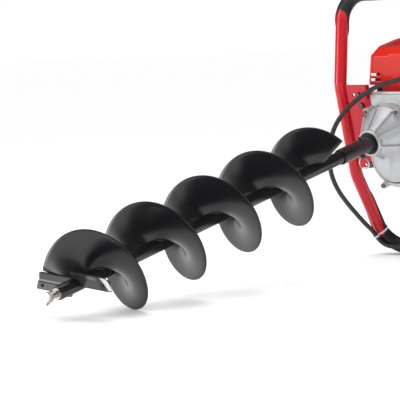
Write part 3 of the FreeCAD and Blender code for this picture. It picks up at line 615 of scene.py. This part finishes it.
def make_flight():
    """Rolled helical flight: an even sheet with a rounded rim, thinned where it starts and ends."""
    steps = int(TURNS * 110)
    half, rim = FLIGHT_T / 2, 2.0
    radii = [TUBE_R - 0.4 + k * (BIT_R - rim - TUBE_R + 0.4) / 12 for k in range(13)]
    section = [(r, 1.0) for r in radii]
    section += [(BIT_R - rim + rim * math.sin(math.radians(a)), math.cos(math.radians(a)))
                for a in (30, 60, 90)]
    section += [(r, -s) for r, s in reversed(section[:-1])]
    verts, faces = [], []
    count = len(section)
    for i in range(steps + 1):
        angle = 360 * TURNS * i / steps
        end = min(angle, 360 * TURNS - angle)
        thin = 0.35 + 0.65 * min(1.0, end / 2.5)
        for r, s in section:
            wave = noise.noise(Vector((r * 0.02, angle * 0.012, 3.0))) * 0.7 * (r - TUBE_R) / BIT_R
            verts.append(row(*helix_point(r, angle, s * half * thin + wave)))
    for i in range(steps):
        for k in range(count):
            n = (k + 1) % count
            faces.append((i * count + k, i * count + n, (i + 1) * count + n, (i + 1) * count + k))
    faces.append(tuple(range(count)))
    faces.append(tuple(reversed(range(steps * count, steps * count + count))))
    flight = new_piece("spiral_flight", verts, faces)
    face_outwards(flight)
    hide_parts("flighting")
    dress(flight, "black_powder_coat", "bit", 50)


def weld_radius(base, seed):
    """Rippled, slightly uneven bead thickness along its length."""
    def radius(distance):
        ripple = 0.5 + 0.5 * math.cos(2 * math.pi * distance / 2.6)
        lump = noise.noise(Vector((distance * 0.09, seed * 7.3, 0.5)))
        return (base * (0.86 + 0.16 * ripple) + 0.25 * lump) * MM
    return radius


def make_welds():
    """Bead along the upper root of the flight, stitches along the lower one, and a ring at the sleeve."""
    lift = FLIGHT_T / 2 + 0.9
    spans = [(1, 2.0, 360 * TURNS - 2.0)]
    spans += [(-1, start, start + 34.0) for start in range(8, int(360 * TURNS) - 40, 90)]
    beads = []
    for k, (side, start, end) in enumerate(spans):
        count = int((end - start) * 0.75)
        path = [row(*helix_point(TUBE_R + 0.8, start + (end - start) * i / count, side * lift))
                for i in range(count + 1)]
        beads.append(sweep(f"bead_{k}", even_steps(path, 0.0008), weld_radius(2.1, k), 10))
    r = TUBE_R + 1.3
    ring = [row(r * math.cos(math.radians(a)), r * math.sin(math.radians(a)), SLEEVE_Z0 - 0.3)
            for a in range(0, 361, 3)]
    beads.append(sweep("bead_ring", even_steps(ring, 0.0008), weld_radius(2.2, 90), 10))
    dress(join("weld_beads", beads), "black_powder_coat", "bit")


make_flight()
make_welds()
for node, width in (("blade_holders", 0.7), ("cutting_blades", 0.3), ("blade_bolts", 0.5),
                    ("pilot_point", 0.5), ("bit_tube", 0.5), ("hitch_pin", 0.5), ("case_bolts", 0.5),
                    ("frame_bolts", 0.6), ("mounting_plates", 0.6), ("bearing_plate", 0.6),
                    ("cable_bracket", 0.3)):
    soften(node, width)


# ---------------------------------------------------------------- castings

def rib(name, inner, outer, thickness):
    """Web on the gear case between two (radius, height) edges; the caller gives its angle."""
    def at(angle):
        a = math.radians(angle)
        out, side = Vector((math.cos(a), math.sin(a), 0)), Vector((-math.sin(a), math.cos(a), 0))
        bm = bmesh.new()
        rings = []
        for sign in (-1, 1):
            rings.append([bm.verts.new(out * r + Vector((0, 0, z)) + side * (sign * thickness / 2))
                          for r, z in (*inner, *outer)])
        bm.faces.new(rings[0])
        bm.faces.new(list(reversed(rings[1])))
        count = len(rings[0])
        for k in range(count):
            n = (k + 1) % count
            bm.faces.new((rings[0][k], rings[1][k], rings[1][n], rings[0][n]))
        return from_bmesh(f"{name}_{angle}", bm)
    return at


def make_castings():
    lay_angle = math.degrees(math.atan2(LAY.y, LAY.x))
    cone_rib = rib("rib", ((30.5, 943), (26, 963)), ((61, 1013), (71, 1000)), 4.4)
    extra = [cone_rib(lay_angle + offset) for offset in RIB_OFFSETS]
    extra.append(lathe("boss_lip", [(BOSS_R - 3.5, BOSS_Z + 1), (BOSS_R + 1.6, BOSS_Z + 2),
                                    (BOSS_R + 1.6, BOSS_Z + 8), (BOSS_R - 3.5, BOSS_Z + 12)]))
    front = cast("gear_case_casting", "gear_case_front", extra, 0.9, 4, 0.3)
    dress(front, "cast_aluminium", "powerhead", 60)
    rear = cast("gear_case_rear_casting", "gear_case_rear", (), 1.0, 3, 0.25)
    dress(rear, "cast_aluminium", "powerhead", 60)
    ribs = [lathe(f"housing_rib_{k}",
                  [(44.5, z), (CRANK_RIB_R, z), (CRANK_RIB_R, z + 2.6), (44.5, z + 2.6)])
            for k, z in enumerate((1104, 1112, 1120, 1166, 1174, 1182))]
    crankcase = cast("crankcase_casting", "crankcase", ribs, 0.9, 4, 0.3)
    dress(crankcase, "cast_aluminium", "powerhead", 60)
    gusset = rib("gusset", ((44, 1066), (44, 1088)), ((49, 1088), (63, 1066)), 3.2)
    gussets = [gusset(30 * k + 15) for k in range(12)]
    clutch = cast("clutch_housing_casting", "clutch_housing", gussets, 0.9, 4, 0.3)
    dress(clutch, "cast_aluminium", "powerhead", 60)


def make_mouldings():
    """Covers and housings with the soft edges of moulded plastic and pressed steel."""
    for node, voxel, rounds, keep in (("engine_cover", 1.0, 6, 0.3), ("throttle_housing", 0.6, 5, 0.3),
                                      ("fuel_tank", 1.1, 7, 0.3), ("starter_housing", 1.0, 4, 0.3),
                                      ("filter_cover", 0.8, 5, 0.3), ("muffler", 0.8, 5, 0.3),
                                      ("fuel_cap", 0.6, 4, 0.4), ("starter_handle", 0.6, 5, 0.4),
                                      ("carburetor", 0.6, 3, 0.3)):
        body = frame["nodes"][node]["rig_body"]
        dress(cast(node + "_moulded", node, (), voxel, rounds, keep), NODE_SLOT[node], body, 60)


make_castings()
make_mouldings()

# ---------------------------------------------------------------- carrying frame

def make_tubes():
    """Red steel tube of both halves of the hand loop, on smooth bends."""
    for name, side in (("frame_tube_left", -1), ("frame_tube_right", 1)):
        y = side * FRAME_Y
        points = [(-HANDLE_X, 0, HANDLE_Z), (-HANDLE_X, y, HANDLE_Z), (-BEND_X, y, FRAME_Z),
                  (BEND_X, y, FRAME_Z), (HANDLE_X, y, HANDLE_Z), (HANDLE_X, 0, HANDLE_Z)]
        path = bent(points, [CORNER_RADIUS, BEND_RADIUS, BEND_RADIUS, CORNER_RADIUS], 3.0)
        tube = sweep(name + "_steel", path, lambda distance: FRAME_R * MM, 48)
        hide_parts(name)
        dress(tube, "red_paint", "powerhead", 50)


make_tubes()

# ---------------------------------------------------------------- foam grips

def along_path(path, far):
    """Point and direction at a distance along a row-frame path, in millimetres."""
    left = max(0.0, far) * MM
    for a, b in zip(path, path[1:]):
        run = (b - a).length
        if left <= run:
            return a + (b - a) * (left / run), (b - a).normalized()
        left -= run
    return path[-1].copy(), (path[-1] - path[-2]).normalized()


def slanted_sleeve(name, path, long_side, reach):
    """Foam sleeve on a loop of tube; its ends are cut at a slant, reach millimetres longer on one side."""
    total = sum((b - a).length for a, b in zip(path, path[1:])) / MM
    middle = (path[0] + path[-1]) / 2
    plane = (path[1] - path[0]).cross(path[-1] - path[0]).normalized()
    if plane.dot(long_side) < 0:
        plane = -plane
    sides, rings = 40, int(total / 3.0)
    lip_length = 1.3
    lip = ((0.0, FRAME_R + 0.15), (0.0, GRIP_R - 1.2), (0.4, GRIP_R - 0.35), (lip_length, GRIP_R))
    verts, faces = [], []
    rows = [("start", far, r) for far, r in lip] + [("share", i / rings, GRIP_R) for i in range(1, rings)]
    rows += [("end", far, r) for far, r in reversed(lip)]
    for kind, value, r in rows:
        for k in range(sides):
            a = 2 * math.pi * k / sides
            lean = 0.5 - 0.5 * math.cos(a + OUTWARD_LEAN)
            cut = reach * lean * lean * (3 - 2 * lean)
            far = {"start": cut + value, "end": total - cut - value,
                   "share": cut + lip_length + (total - 2 * (cut + lip_length)) * value}[kind]
            point, ahead = along_path(path, far)
            inward = plane.cross(ahead).normalized()
            if inward.dot(middle - point) < 0:
                inward = -inward
            ripple = 0.18 * noise.noise(Vector((0.05 * far, 2 * math.cos(a), 2 * math.sin(a))))
            verts.append(point + (plane * math.cos(a) + inward * math.sin(a)) * ((r + ripple) * MM))
    for i in range(len(rows) - 1):
        for k in range(sides):
            n = (k + 1) % sides
            faces.append((i * sides + k, i * sides + n, (i + 1) * sides + n, (i + 1) * sides + k))
    sleeve = new_piece(name, verts, faces)
    face_outwards(sleeve)
    return sleeve


def make_grips():
    """Both hand loops' foam, from one leg round the cross bar to the other leg."""
    for node, sign, tip_x in GRIP_TIPS:
        start_z = HANDLE_Z - (HANDLE_X - tip_x) * math.tan(RAKE)
        ends = [(sign * tip_x, -FRAME_Y, start_z), (sign * HANDLE_X, -FRAME_Y, HANDLE_Z),
                (sign * HANDLE_X, FRAME_Y, HANDLE_Z), (sign * tip_x, FRAME_Y, start_z)]
        path = bent(ends, [CORNER_RADIUS, CORNER_RADIUS], 2.0)
        engine_side = row(0, 0, 1) - row(0, 0, 0)
        reach = (GRIP_SHORT_X - tip_x) / math.cos(RAKE)
        sleeve = slanted_sleeve(node + "_foam", path, engine_side, reach)
        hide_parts(node)
        dress(sleeve, "grip_rubber", "powerhead", 50)


make_grips()

# ---------------------------------------------------------------- throttle loom

def nurbs_line(name, points):
    data = bpy.data.curves.new(name, "CURVE")
    data.dimensions = "3D"
    line = data.splines.new("NURBS")
    line.points.add(len(points) - 1)
    for place, point in zip(line.points, points):
        place.co = (*point, 1)
    line.order_u = 3
    line.use_endpoint_u = True
    line.resolution_u = 12
    obj = bpy.data.objects.new(name, data)
    bpy.context.scene.collection.objects.link(obj)
    return obj


def make_loom():
    """Corrugated loom round the throttle cable, from the carburettor's stop to the throttle housing."""
    route = [row(*p) for p in LOOM_ROUTE]
    line = nurbs_line("loom_route", route)
    bpy.context.view_layer.update()
    graph = bpy.context.evaluated_depsgraph_get()
    bare = bpy.data.meshes.new_from_object(line.evaluated_get(graph))
    path = [v.co.copy() for v in bare.vertices]
    bpy.data.objects.remove(line)
    path = even_steps(path, 0.0006)
    ridge = 3.2     # millimetres from one corrugation to the next

    def radius(distance):
        wave = 0.5 + 0.5 * math.cos(2 * math.pi * distance / ridge)
        return (LOOM_D / 2 - 0.6 + 0.6 * wave ** 0.6) * MM
    loom = sweep("throttle_cable_loom", path, radius, 20)
    dress(loom, "loom_plastic", "powerhead")
    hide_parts("throttle_loom")
    return loom


make_loom()
